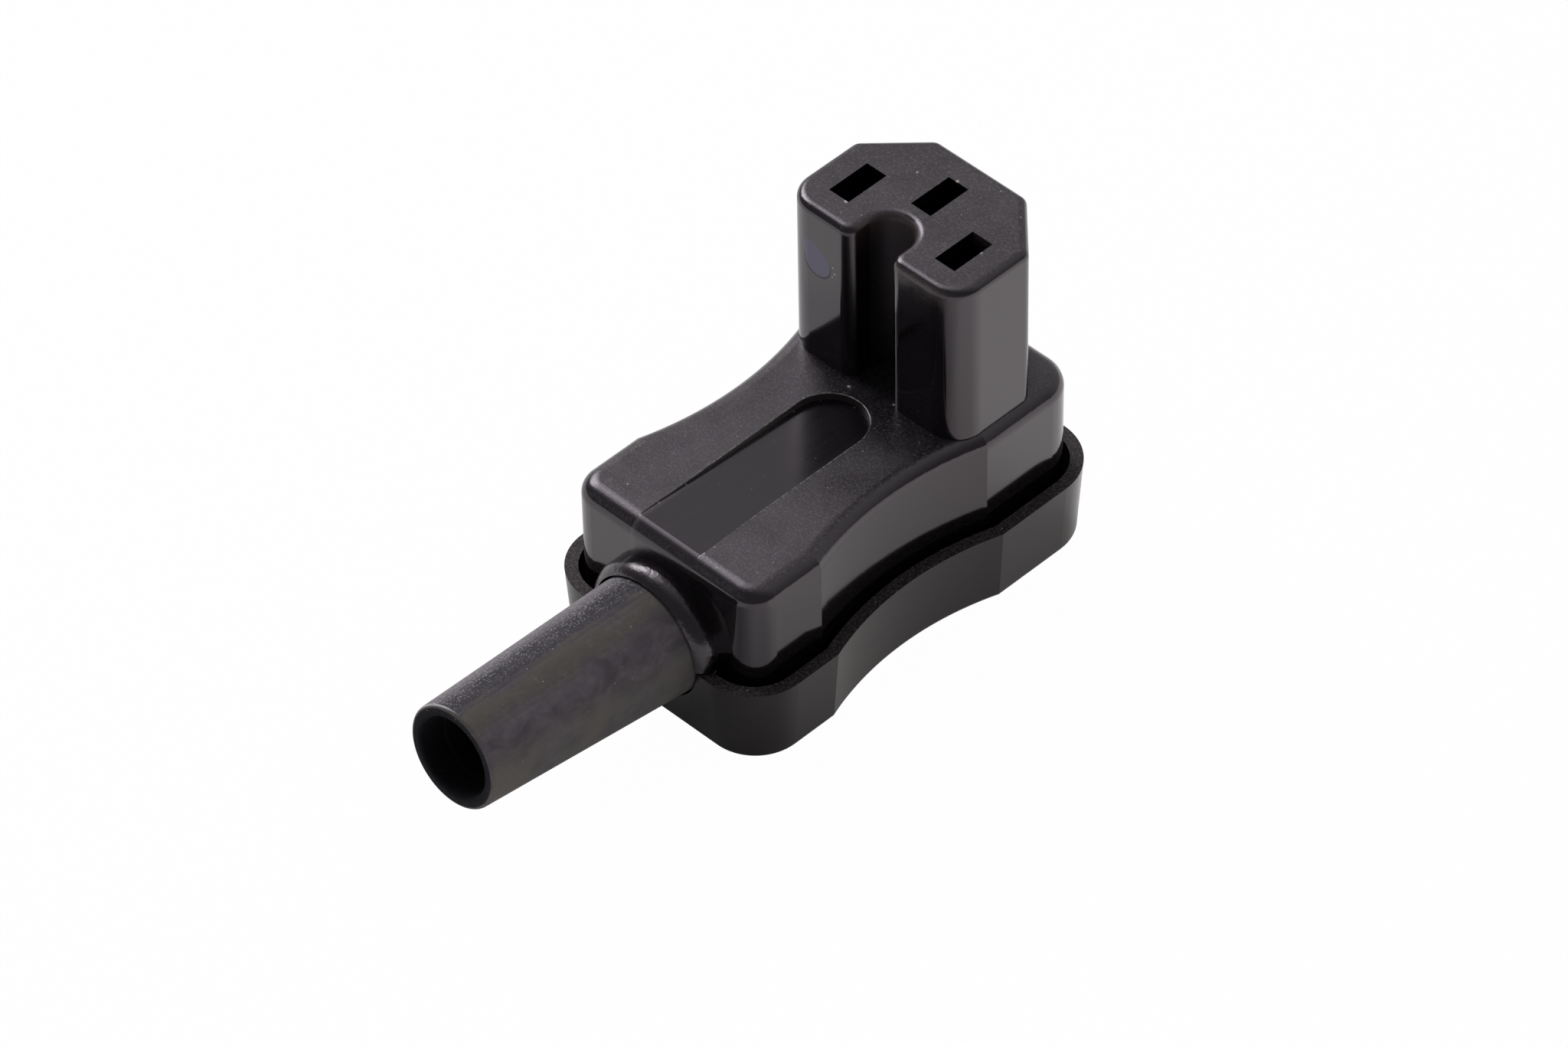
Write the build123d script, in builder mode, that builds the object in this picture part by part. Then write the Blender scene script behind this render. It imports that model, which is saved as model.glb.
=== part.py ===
from build123d import *
from math import cos, radians, sin
import os

# Rewireable angled appliance connector for hot conditions: a mating head that stands
# square to the cord, a waisted body, a tray shaped cover below it and a rubber bend sleeve.
# Millimetres. The origin lies on the underside, below the middle of the mating head.
# X runs from line to neutral, Y towards the earth side and Z up to the mating face.

# Mating interface
contact_pitch = 14.0
earth_offset = 4.0
opening_width = 2.6
opening_length = 5.2

# Mating head
head_half_width = 11.5
head_rear = -7.7
head_front = 7.85
head_chamfer = 5.6
head_chamfer_round = 1.2
head_corner_round = 3.3
head_edge_round = 0.9
face_height = 39.4
face_thickness = 1.6
notch_width = 5.0
notch_end = -2.4
notch_lip_round = 1.4

# Body of the upper housing
body_top = 20.3
body_half_width = 12.5
body_front = 8.7
body_rear = -36.15
body_front_round = 4.0
body_rear_round = 3.0
body_edge_round = 1.8
body_draft = 0.3
body_wall = 2.0
roof_thickness = 2.2
waist_depth = 1.75
waist_front = -4.4
waist_rear = -27.1

# Recess in the top of the body, deepest beside the head and running out at the cord end
recess_half_width = 4.05
recess_depth = 0.9
recess_gap = 1.6

# Cover, which stands out past the foot of the body by a gap and its own rim
rim_wall = 1.35
rim_side_gap = 0.8
rim_front_gap = 0.65
rim_rear_gap = 0.9
cover_front_round = 6.3
cover_rear_round = 5.9
cover_edge_round = 0.5
cover_draft = 4.0
cover_waist_depth = 1.95
rim_height = 8.85
floor_thickness = 2.2
lip_height = 1.2
lip_wall = 1.0
lip_gap = 0.15

# Bend sleeve
sleeve_height = 9.1
sleeve_tilt = 5.0
sleeve_length = 27.9
sleeve_root_radius = 6.6
sleeve_end_radius = 5.55
sleeve_bore_radius = 3.9
neck_bore_radius = 4.3
neck_bore_end = 3.5
sleeve_mouth_radius = 4.35
sleeve_mouth_depth = 3.0
sleeve_mouth_round = 0.3
sleeve_lip_round = 0.4
sleeve_gap = 0.15
flange_half_width = 8.2
flange_thickness = 1.6
flange_round = 2.0

# Bead around the root of the sleeve
bead_width = 1.1
bead_length = 2.45
bead_crown = 0.7
bead_arc_inset = 0.35
bead_rim_gap = 0.3

# Sprung contacts, folded from strip
chamber_width = 4.6
chamber_length = 6.4
strip = 0.6
contact_width = 3.4
contact_throat = 1.9
contact_mouth = 3.6
contact_length = 4.8
contact_height = 15.0
contact_shoulder = 7.0
contact_throat_height = 12.0
contact_bend = 0.7
tail_width = 3.0
slot_gap = 0.2

# Contact retainer
retainer_thickness = 1.2
retainer_edge_gap = 0.3
barrier_place = 3.2
barrier_thickness = 0.8

# Terminals
terminal_width = 4.4
terminal_length = 6.2
terminal_height = 6.0
terminal_shift = 0.7
live_terminal_place = -14.2
earth_terminal_place = -8.2
wire_bore_radius = 1.4
wire_bore_drop = 2.2
terminal_screw_radius = 1.25
terminal_head_radius = 2.0
terminal_head_height = 1.6
terminal_screw_length = 2.6
rivet_radius = 0.8
terminal_edge = 0.4

# Cord clamp
clamp_place = -22.8
clamp_screw_pitch = 13.2
clamp_boss_radius = 2.6
clamp_height = 7.0
clamp_thickness = 3.0
clamp_end_radius = 2.2
cord_radius = 3.5
saddle_thickness = 2.4
clamp_screw_radius = 1.25
clamp_screw_head_radius = 2.2
clamp_screw_head_height = 1.5
clamp_screw_length = 7.5

# Cover screws and the inserts that take all the fixing screws
boss_side_inset = 4.4
boss_front_inset = 4.3
boss_rear_inset = 7.55
boss_radius = 3.0
boss_seat_height = 4.6
cover_screw_radius = 1.5
cover_screw_head_radius = 2.7
cover_screw_head_height = 1.6
cover_screw_recess = 0.3
cover_screw_length = 7.4
cover_screw_clearance = 0.15
cover_boss_wall = 0.75
insert_wall = 0.6
insert_length = 5.0
insert_blind_depth = 1.5
screw_chamfer = 0.3
screw_gap = 0.05
screw_slot_width = 0.7
screw_slot_depth = 0.8

cover_half_width = body_half_width + rim_side_gap + rim_wall
cover_front = body_front + rim_front_gap + rim_wall
cover_rear = body_rear - rim_rear_gap - rim_wall
roof_height = body_top - roof_thickness
seat_height = floor_thickness
retainer_bottom = roof_height - retainer_thickness
terminal_top = retainer_bottom - strip
terminal_bottom = terminal_top - terminal_height
inner_rear = body_rear + body_wall
neck_radius = sleeve_root_radius + sleeve_gap
bead_radius = neck_radius + bead_width
bead_core = neck_radius - bead_arc_inset
bead_floor = rim_height + bead_rim_gap
flange_height = (sleeve_height - seat_height) * 2
head_hole_radius = cover_screw_head_radius + cover_screw_clearance
slot_front = strip / 2 + slot_gap
chamber_side = contact_pitch / 2 + chamber_width / 2 + retainer_edge_gap
chamber_rear = -earth_offset / 2 - chamber_length / 2 - retainer_edge_gap
chamber_front = chamber_length / 2 - earth_offset / 2
plate_side = contact_pitch / 2 + tail_width / 2
plate_rear = live_terminal_place - terminal_length / 2 - retainer_edge_gap

pole_places = {
    "line": (-contact_pitch / 2, -earth_offset / 2),
    "earth": (0, earth_offset / 2),
    "neutral": (contact_pitch / 2, -earth_offset / 2),
}
terminal_places = {
    "line": (terminal_shift - contact_pitch / 2, live_terminal_place),
    "earth": (0, earth_terminal_place),
    "neutral": (contact_pitch / 2 - terminal_shift, live_terminal_place),
}
clamp_screw_places = {
    "left": (-clamp_screw_pitch / 2, clamp_place),
    "right": (clamp_screw_pitch / 2, clamp_place),
}
cover_screw_places = {
    "front": (boss_side_inset - body_half_width, body_front - boss_front_inset),
    "rear": (body_half_width - boss_side_inset, body_rear + boss_rear_inset),
}

sleeve_root = Vector(0, body_rear, sleeve_height)
sleeve_direction = Vector(0, -cos(radians(sleeve_tilt)), sin(radians(sleeve_tilt)))
sleeve_axis = Axis(sleeve_root, sleeve_direction)
sleeve_plane = Plane(origin=sleeve_root, x_dir=(1, 0, 0), z_dir=sleeve_direction)
sleeve_profile_plane = Plane(origin=sleeve_root, x_dir=sleeve_direction, z_dir=(1, 0, 0))
rear_wall_plane = Plane(origin=sleeve_root, x_dir=(1, 0, 0), z_dir=(0, -1, 0))
bead_axis = Axis(sleeve_root, (0, -1, 0))
bead_profile_plane = Plane(origin=sleeve_root, x_dir=(0, -1, 0), z_dir=(1, 0, 0))


def waisted_outline(half_width, front, rear, front_round, rear_round, depth):
    """Plan outline of the body or the cover: each long side is drawn in by one arc."""
    middle = (waist_front + waist_rear) / 2
    with BuildSketch() as outline:
        with BuildLine():
            Line((-half_width, front), (half_width, front))
            Line((-half_width, rear), (half_width, rear))
            for side in (-1, 1):
                wall = side * half_width
                waist = side * (half_width - depth)
                Line((wall, rear), (wall, waist_rear))
                ThreePointArc((wall, waist_rear), (waist, middle), (wall, waist_front))
                Line((wall, waist_front), (wall, front))
        make_face()
        levels = outline.vertices().group_by(Axis.Y)
        fillet(levels[0], rear_round)
        fillet(outline.vertices().group_by(Axis.Y)[-1], front_round)
    return outline.sketch


def head_outline():
    """Plan outline of the mating head, with the keying notch open to the cord side."""
    chamfer_side = head_front - head_chamfer
    with BuildSketch() as outline:
        with BuildLine():
            Polyline(
                (-head_half_width, head_rear),
                (head_half_width, head_rear),
                (head_half_width, chamfer_side),
                (head_half_width - head_chamfer, head_front),
                (head_chamfer - head_half_width, head_front),
                (-head_half_width, chamfer_side),
                close=True,
            )
        make_face()
        levels = outline.vertices().group_by(Axis.Y)
        fillet(levels[0], head_corner_round)
        chamfer_corners = outline.vertices().group_by(Axis.Y)
        fillet(chamfer_corners[-1] + chamfer_corners[-2], head_chamfer_round)
        with Locations((0, head_rear)):
            SlotOverall((notch_end - head_rear) * 2, notch_width, rotation=90, mode=Mode.SUBTRACT)
        lips = outline.vertices().group_by(Axis.Y)[0].sort_by(lambda corner: abs(corner.X))[:2]
        fillet(lips, notch_lip_round)
    return outline.sketch


def recess_plane():
    """Sloping floor of the recess: level with the top at the cord end, low at the head."""
    run = head_rear - recess_gap - body_rear
    return Plane(origin=(0, body_rear, body_top), x_dir=(1, 0, 0), z_dir=(0, recess_depth, run))


def inner_outline(gap=0.0):
    """Plan outline of the cavity in the body, drawn in further by a gap."""
    with BuildSketch() as outline:
        add(body_outline)
        offset(amount=-body_wall - gap, kind=Kind.INTERSECTION, mode=Mode.REPLACE)
    return outline.sketch


def make_contact(place, tail_end):
    """Folded strip: two sprung leaves round the pin, and a tail bent over its terminal."""
    base = roof_height + strip / 2
    tail = terminal_top + strip / 2
    half_throat = (contact_throat + strip) / 2
    half_mouth = (contact_mouth - strip) / 2
    half_base = (contact_width - strip) / 2
    with BuildPart() as contact:
        with BuildSketch(Plane(origin=(place[0], place[1], roof_height), z_dir=(0, -1, 0), x_dir=(1, 0, 0))):
            with BuildLine():
                FilletPolyline(
                    (-half_mouth, contact_height),
                    (-half_throat, contact_throat_height),
                    (-half_base, contact_shoulder),
                    (-half_base, strip / 2),
                    (half_base, strip / 2),
                    (half_base, contact_shoulder),
                    (half_throat, contact_throat_height),
                    (half_mouth, contact_height),
                    radius=contact_bend,
                )
            trace(line_width=strip)
        extrude(amount=contact_length / 2, both=True)
        with BuildSketch(Plane(origin=(place[0], 0, 0), z_dir=(1, 0, 0), x_dir=(0, 1, 0))):
            with BuildLine():
                FilletPolyline((place[1], base), (place[1], tail), (tail_end, tail), radius=contact_bend)
            trace(line_width=strip)
        extrude(amount=tail_width / 2, both=True)
    return contact


def make_screw(place, seat, radius, length, head_radius, head_height):
    """Slotted cheese head screw that points up, with its head seated from below."""
    with BuildPart() as screw:
        with BuildSketch(Plane.XY.offset(seat)):
            with Locations(place):
                Circle(head_radius)
        extrude(amount=-head_height)
        chamfer(screw.edges().sort_by(Axis.Z)[0], screw_chamfer)
        with BuildSketch(Plane.XY.offset(seat)):
            with Locations(place):
                Circle(radius)
        extrude(amount=length)
        chamfer(screw.edges().sort_by(Axis.Z)[-1], screw_chamfer)
        with BuildSketch(Plane.XY.offset(seat - head_height)):
            with Locations(place):
                Rectangle(head_radius * 2, screw_slot_width)
        extrude(amount=screw_slot_depth, mode=Mode.SUBTRACT)
    return screw


def make_insert(place, seat, bore_radius):
    """Brass insert: a plain sleeve in a blind hole, that its screw runs in."""
    with BuildPart() as insert:
        with BuildSketch(Plane.XY.offset(seat)):
            with Locations(place):
                Circle(bore_radius + insert_wall)
                Circle(bore_radius + screw_gap, mode=Mode.SUBTRACT)
        extrude(amount=insert_length)
    return insert


body_outline = waisted_outline(
    body_half_width, body_front, body_rear, body_front_round, body_rear_round, waist_depth
)
cover_outline = waisted_outline(
    cover_half_width, cover_front, cover_rear, cover_front_round, cover_rear_round, cover_waist_depth
)

os.makedirs("parts", exist_ok=True)

# Rounded bead over the root of the sleeve, square to the rear wall and above the cover's rim
with BuildPart() as bead:
    with BuildSketch(bead_profile_plane):
        with BuildLine():
            Polyline(
                (bead_length, bead_core),
                (bead_length, 0),
                (-body_wall / 2, 0),
                (-body_wall / 2, bead_radius),
                (bead_crown, bead_radius),
            )
            EllipticalCenterArc(
                center=(bead_crown, bead_core),
                x_radius=bead_length - bead_crown,
                y_radius=bead_radius - bead_core,
                start_angle=0,
                arc_size=90,
            )
        make_face()
    revolve(axis=bead_axis)
    with Locations((0, body_rear, bead_floor / 2)):
        Box(bead_radius * 2, bead_radius * 2, bead_floor, mode=Mode.SUBTRACT)

# Upper housing: drafted body, head, recess and bead in one moulding
with BuildPart() as upper_housing:
    with BuildSketch(Plane.XY.offset(body_top)):
        add(body_outline)
    extrude(amount=seat_height - body_top, taper=body_draft)
    fillet(upper_housing.faces().sort_by(Axis.Z)[-1].edges(), body_edge_round)
    with BuildSketch(Plane.XY.offset(body_top)):
        add(head_outline())
    extrude(amount=face_height - body_top)
    fillet(upper_housing.faces().sort_by(Axis.Z)[-1].edges(), head_edge_round)

    # Recess with one round end
    with BuildSketch(recess_plane()):
        SlotOverall((head_rear - recess_gap - body_rear) * 2, recess_half_width * 2, rotation=90)
    extrude(amount=roof_thickness, mode=Mode.SUBTRACT)

    # Cavity, contact chambers and contact openings
    with BuildSketch(Plane.XY.offset(seat_height)):
        add(inner_outline())
    extrude(amount=roof_height - seat_height, mode=Mode.SUBTRACT)
    with BuildSketch(Plane.XY.offset(roof_height)):
        with Locations(*pole_places.values()):
            Rectangle(chamber_width, chamber_length)
    extrude(amount=face_height - face_thickness - roof_height, mode=Mode.SUBTRACT)
    with BuildSketch(Plane.XY.offset(face_height)):
        with Locations(*pole_places.values()):
            Rectangle(opening_width, opening_length)
    extrude(amount=-face_thickness, mode=Mode.SUBTRACT)

    # Bead, and the way through it and the rear wall for the neck of the sleeve
    add(bead.part)
    with BuildSketch(sleeve_plane.offset(-body_wall * 2)):
        Circle(neck_radius)
        with Locations((0, -sleeve_height / 2)):
            Rectangle(neck_radius * 2, sleeve_height)
    extrude(amount=(body_wall + bead_length) * 2, mode=Mode.SUBTRACT)

    # Bosses for the cover screws and the cord clamp
    with BuildSketch(Plane.XY.offset(boss_seat_height)):
        with Locations(*cover_screw_places.values()):
            Circle(boss_radius)
    extrude(amount=roof_height - boss_seat_height)
    with BuildSketch(Plane.XY.offset(clamp_height)):
        with Locations(*clamp_screw_places.values()):
            Circle(clamp_boss_radius)
    extrude(amount=roof_height - clamp_height)

    # Saddle that the cord is clamped against
    with BuildSketch(Plane(origin=(0, clamp_place, 0), x_dir=(1, 0, 0), z_dir=(0, -1, 0))):
        with Locations((0, (roof_height + clamp_height) / 2)):
            Rectangle(clamp_screw_pitch, roof_height - clamp_height)
        with Locations((0, sleeve_height)):
            Circle(cord_radius, mode=Mode.SUBTRACT)
        with Locations((0, (sleeve_height + clamp_height) / 2)):
            Rectangle(cord_radius * 2, sleeve_height - clamp_height, mode=Mode.SUBTRACT)
    extrude(amount=saddle_thickness / 2, both=True)

    # Blind holes that hold the threaded inserts
    with BuildSketch(Plane.XY.offset(boss_seat_height)):
        with Locations(*cover_screw_places.values()):
            Circle(cover_screw_radius + insert_wall)
    extrude(amount=insert_length + insert_blind_depth, mode=Mode.SUBTRACT)
    with BuildSketch(Plane.XY.offset(clamp_height)):
        with Locations(*clamp_screw_places.values()):
            Circle(clamp_screw_radius + insert_wall)
    extrude(amount=insert_length + insert_blind_depth, mode=Mode.SUBTRACT)
upper_housing.part.label = "upper_housing"
export_step(upper_housing.part, "parts/upper_housing.step")

# Cover: a tray round the foot of the body, with screw pillars and a locating lip
with BuildPart() as bottom_cover:
    with BuildSketch(Plane.XY.offset(rim_height)):
        add(cover_outline)
    extrude(amount=-rim_height, taper=cover_draft)
    fillet(bottom_cover.faces().sort_by(Axis.Z)[0].edges(), cover_edge_round)
    with BuildSketch(Plane.XY.offset(rim_height)):
        add(cover_outline)
        offset(amount=-rim_wall, kind=Kind.INTERSECTION, mode=Mode.REPLACE)
    extrude(amount=floor_thickness - rim_height, taper=cover_draft, mode=Mode.SUBTRACT)

    # Locating lip inside the wall of the body, left out along the waist and at the sleeve
    with BuildSketch(Plane.XY.offset(floor_thickness)):
        add(inner_outline(lip_gap))
        add(inner_outline(lip_gap + lip_wall), mode=Mode.SUBTRACT)
        with Locations((0, (waist_front + waist_rear) / 2)):
            Rectangle(body_half_width * 2, waist_front - waist_rear, mode=Mode.SUBTRACT)
        with Locations((0, inner_rear)):
            Rectangle((flange_half_width + sleeve_gap) * 2, flange_thickness * 4, mode=Mode.SUBTRACT)
    extrude(amount=lip_height)

    # Pillars under the housing bosses, counterbored from below
    with BuildSketch(Plane.XY.offset(floor_thickness)):
        with Locations(*cover_screw_places.values()):
            Circle(head_hole_radius + cover_boss_wall)
        add(inner_outline(lip_gap), mode=Mode.INTERSECT)
    extrude(amount=boss_seat_height - floor_thickness)
    with Locations(*[Location((x, y, 0), (180, 0, 0)) for x, y in cover_screw_places.values()]):
        CounterBoreHole(
            radius=cover_screw_radius + cover_screw_clearance,
            counter_bore_radius=head_hole_radius,
            counter_bore_depth=cover_screw_recess + cover_screw_head_height,
            depth=boss_seat_height,
        )

    # Notch in the rear wall that the root of the sleeve lies in
    with BuildSketch(sleeve_plane.offset(-rim_wall)):
        Circle(neck_radius)
        with Locations((0, neck_radius)):
            Rectangle(neck_radius * 2, neck_radius * 2)
    extrude(amount=rim_rear_gap + rim_wall * 3, mode=Mode.SUBTRACT)
bottom_cover.part.label = "bottom_cover"
export_step(bottom_cover.part, "parts/bottom_cover.step")

# Bend sleeve: tapered rubber boot with a neck and a flange held inside the rear wall
with BuildPart() as bend_sleeve:
    with BuildSketch(sleeve_profile_plane):
        with BuildLine():
            Polyline(
                (-body_wall - flange_thickness / 2, 0),
                (-body_wall - flange_thickness / 2, sleeve_root_radius),
                (0, sleeve_root_radius),
                (sleeve_length, sleeve_end_radius),
                (sleeve_length, 0),
                close=True,
            )
        make_face()
    revolve(axis=sleeve_axis)
    fillet(bend_sleeve.edges().filter_by(GeomType.CIRCLE).sort_by(Axis.Y)[0], sleeve_lip_round)
    with BuildSketch(rear_wall_plane.offset(-body_wall)):
        RectangleRounded(flange_half_width * 2, flange_height, flange_round)
    extrude(amount=-flange_thickness)
    with BuildSketch(sleeve_plane.offset(sleeve_length)):
        Circle(sleeve_mouth_radius)
    extrude(amount=-sleeve_mouth_depth, mode=Mode.SUBTRACT)
    fillet(bend_sleeve.edges().filter_by(GeomType.CIRCLE).sort_by(sleeve_axis)[-1], sleeve_mouth_round)
    with BuildSketch(sleeve_plane):
        Circle(sleeve_bore_radius)
    extrude(amount=sleeve_length, mode=Mode.SUBTRACT)
    with BuildSketch(sleeve_plane.offset(neck_bore_end)):
        Circle(neck_bore_radius)
    extrude(amount=-neck_bore_end - (body_wall + flange_thickness) * 2, mode=Mode.SUBTRACT)
bend_sleeve.part.label = "bend_sleeve"
export_step(bend_sleeve.part, "parts/bend_sleeve.step")

# Contacts, one for each pole
for pole, place in pole_places.items():
    contact = make_contact(place, terminal_places[pole][1] - terminal_length / 2)
    with BuildPart() as contact_piece:
        add(contact.part)
        with Locations((place[0], terminal_places[pole][1], terminal_top)):
            Cylinder(rivet_radius, strip, align=(Align.CENTER, Align.CENTER, Align.MIN), mode=Mode.SUBTRACT)
    contact_piece.part.label = f"{pole}_contact"
    export_step(contact_piece.part, f"parts/{pole}_contact.step")

# Retainer: plate under the contacts, with two walls that part the terminals
with BuildPart() as contact_retainer:
    with BuildSketch(Plane.XY.offset(retainer_bottom)):
        with Locations((0, (chamber_rear + chamber_front) / 2)):
            Rectangle(chamber_side * 2, chamber_front - chamber_rear)
        with Locations((0, (plate_rear + chamber_rear) / 2)):
            Rectangle(plate_side * 2, chamber_rear - plate_rear)
        with Locations((0, chamber_front + earth_offset / 2)):
            Rectangle(chamber_width * 2, earth_offset)
        with Locations(*[(x, y + (slot_front - contact_bend) / 2) for x, y in pole_places.values()]):
            Rectangle(tail_width + slot_gap * 2, slot_front + contact_bend, mode=Mode.SUBTRACT)
    extrude(amount=retainer_thickness)
    with BuildSketch(Plane.XY.offset(retainer_bottom)):
        with Locations((0, (plate_rear + chamber_rear) / 2)):
            with GridLocations(barrier_place * 2, 0, 2, 1):
                Rectangle(barrier_thickness, chamber_rear - plate_rear)
    extrude(amount=floor_thickness - retainer_bottom)
contact_retainer.part.label = "contact_retainer"
export_step(contact_retainer.part, "parts/contact_retainer.step")

# Terminals: bored brass blocks riveted under the tails
for pole, (x, y) in terminal_places.items():
    with BuildPart() as terminal:
        with BuildSketch(Plane.XY.offset(terminal_bottom)):
            with Locations((x, y)):
                Rectangle(terminal_width, terminal_length)
        extrude(amount=terminal_height)
        chamfer(terminal.edges().filter_by(Axis.Z), terminal_edge)
        with BuildSketch(Plane.XY.offset(terminal_top)):
            with Locations((pole_places[pole][0], y)):
                Circle(rivet_radius)
        extrude(amount=strip)
        wire_plane = Plane(origin=(x, y, terminal_top - wire_bore_drop), x_dir=(1, 0, 0), z_dir=(0, -1, 0))
        with BuildSketch(wire_plane):
            Circle(wire_bore_radius)
        extrude(amount=terminal_length / 2, both=True, mode=Mode.SUBTRACT)
        with BuildSketch(Plane.XY.offset(terminal_bottom)):
            with Locations((x, y)):
                Circle(terminal_screw_radius + screw_gap)
        extrude(amount=terminal_height - wire_bore_drop, mode=Mode.SUBTRACT)
    terminal.part.label = f"{pole}_terminal"
    export_step(terminal.part, f"parts/{pole}_terminal.step")

# Clamp bar, hollowed to the cord on its upper side
with BuildPart() as cord_clamp:
    with BuildSketch(Plane.XY.offset(clamp_height)):
        with Locations((0, clamp_place)):
            SlotCenterToCenter(clamp_screw_pitch, clamp_end_radius * 2)
        with Locations(*clamp_screw_places.values()):
            Circle(clamp_screw_radius + cover_screw_clearance, mode=Mode.SUBTRACT)
    extrude(amount=-clamp_thickness)
    with BuildSketch(Plane(origin=(0, clamp_place, sleeve_height), x_dir=(1, 0, 0), z_dir=(0, -1, 0))):
        Circle(cord_radius)
    extrude(amount=clamp_end_radius * 2, both=True, mode=Mode.SUBTRACT)
cord_clamp.part.label = "cord_clamp"
export_step(cord_clamp.part, "parts/cord_clamp.step")

# Fixing screws, and the inserts that the cover and clamp screws run in
fixings = {}
for pole, place in terminal_places.items():
    fixings[f"{pole}_terminal_screw"] = make_screw(
        place, terminal_bottom, terminal_screw_radius, terminal_screw_length,
        terminal_head_radius, terminal_head_height,
    )
for side, place in clamp_screw_places.items():
    fixings[f"clamp_screw_{side}"] = make_screw(
        place, clamp_height - clamp_thickness, clamp_screw_radius, clamp_screw_length,
        clamp_screw_head_radius, clamp_screw_head_height,
    )
    fixings[f"clamp_insert_{side}"] = make_insert(place, clamp_height, clamp_screw_radius)
for end, place in cover_screw_places.items():
    fixings[f"cover_screw_{end}"] = make_screw(
        place, cover_screw_recess + cover_screw_head_height, cover_screw_radius, cover_screw_length,
        cover_screw_head_radius, cover_screw_head_height,
    )
    fixings[f"cover_insert_{end}"] = make_insert(place, boss_seat_height, cover_screw_radius)

for name, fixing in fixings.items():
    fixing.part.label = name
    export_step(fixing.part, f"parts/{name}.step")
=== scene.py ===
"""Looks of the angled appliance connector: materials, surface details, floor, light and camera."""
import math
import random

import bmesh
import bpy
from mathutils import Matrix, Vector


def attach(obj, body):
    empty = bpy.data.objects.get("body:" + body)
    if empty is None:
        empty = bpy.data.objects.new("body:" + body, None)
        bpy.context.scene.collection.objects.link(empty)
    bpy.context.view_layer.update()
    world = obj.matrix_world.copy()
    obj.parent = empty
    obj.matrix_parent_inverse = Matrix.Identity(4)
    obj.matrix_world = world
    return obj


MM = 0.001
UP = (0, 0, 1)
TO_RIGHT = (1, 0, 0)
TO_CORD = (0, -1, 0)

# Places on the part that its finish depends on, in millimetres, and directions as unit vectors
HEAD_TOP = 39.4
HEAD_REAR = -7.7
HEAD_FOOT = 20.6
BODY_TOP = 20.3
BODY_REAR = -36.15
RECESS_HALF_WIDTH = 4.05
RECESS_END = -9.3
RECESS_CENTRE = RECESS_END - RECESS_HALF_WIDTH
NOTCH_HALF_WIDTH = 2.8
NOTCH_END = -2.1
NOTCH_LIP_LEFT = -4.35
NOTCH_LIP_RIGHT = -2.2
NOTCH_LIP_END = -5.0
SLEEVE_TILT = math.radians(5)
SLEEVE_DIRECTION = (0.0, -math.cos(SLEEVE_TILT), math.sin(SLEEVE_TILT))
SLEEVE_POINT = (0.0, -50.296, 10.338)
SLEEVE_LIT_SIDE = (-0.788, 0.054, 0.613)
MOUTH_RADIUS = 4.35

# Hairlines in the mating face: start, end and width in millimetres
HAIRLINES = [
    ((-5.33, -6.05, HEAD_TOP), (-3.92, -7.49, 39.07), 0.09),
    ((-4.95, -7.1, 39.3), (-3.6, -7.4, 39.15), 0.08),
    ((8.42, 0.43, HEAD_TOP), (9.45, 0.83, HEAD_TOP), 0.06),
    ((9.45, 0.83, HEAD_TOP), (10.59, 0.89, HEAD_TOP), 0.08),
    ((10.59, 0.89, HEAD_TOP), (11.05, 1.66, 39.28), 0.07),
]

# Pale chips at the openings, below the dried drop and on the deck: centre and radius. The first, at
# the far end of the earth opening, is a painted glint, drawn as a warm pale spot
CHIPS_AND_GLINT = [
    ((-0.28, 4.72, HEAD_TOP), 0.22),
    ((-5.95, -4.68, HEAD_TOP), 0.26),
    ((8.35, -1.0, HEAD_TOP), 0.17),
    ((-3.93, 2.98, HEAD_TOP), 0.15),
    ((-4.8, HEAD_REAR, 33.5), 0.15),
    ((-4.6, HEAD_REAR, 32.8), 0.18),
    ((-4.9, HEAD_REAR, 32.3), 0.12),
    ((2.83, -7.3, BODY_TOP), 0.2),
]

# Dried drop on the cord side of the head: centre, radius and softness of its edge
DROP = [((-6.9, HEAD_REAR, 32.85), 1.85, 0.06), ((-7.7, HEAD_REAR, 33.9), 1.35, 0.10)]
DROP_INSIDE = [((-6.9, HEAD_REAR, 32.95), 1.72, 0.06), ((-7.7, HEAD_REAR, 34.0), 1.3, 0.1)]

PLASTIC_IOR = 1.5

# Rounded lip along the edge of the recess, in millimetres
LIP_REAR = -32.0
LIP_HALF_WIDTH = 0.10
LIP_HALF_HEIGHT = 0.06
LIP_SINK = 0.015
LIP_SIDES = 12
LIP_STRAIGHT_STEPS = 30
LIP_ROUND_STEPS = 48
LIP_TAPER_STEPS = 8
LIP_THIN_END = 0.15

# Moulding nub between the recess and the head, in millimetres
NUB_CENTRE = (-1.97, -8.5, BODY_TOP)
NUB_RADII = (0.24, 0.17, 0.13)
NUB_UNEVEN = 0.16
NUB_SEED = 4

# Floor and lights: reach, distance and size in metres, gap in millimetres, power in watts
FLOOR_REACH = 3.0
FLOOR_GAP = 0.02
FLOOR_ALBEDO = 0.82
FLOOR_SHOWN = 0.985
BEHIND = (-0.3, 0.8, 0.5)
OVERHEAD = (-0.45, 0.08, 0.89)
KEY_DIRECTION = (-0.80, 0.10, 0.64)
KEY_DISTANCE = 0.9
KEY_SIZE = 0.46
KEY_POWER = 4.5

# Camera: fitted to the openings and the outline in the photograph, in degrees and millimetres
CAMERA_AZIMUTH = 45.37
CAMERA_ELEVATION = 44.2
CAMERA_ROLL = -1.03
CAMERA_DISTANCE = 878.33
CAMERA_TARGET = (2.84, -22.43, 15.0)
CAMERA_LENS = 210.94
CAMERA_SENSOR = 36
CAMERA_CLIP = (0.05, 20)

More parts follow.
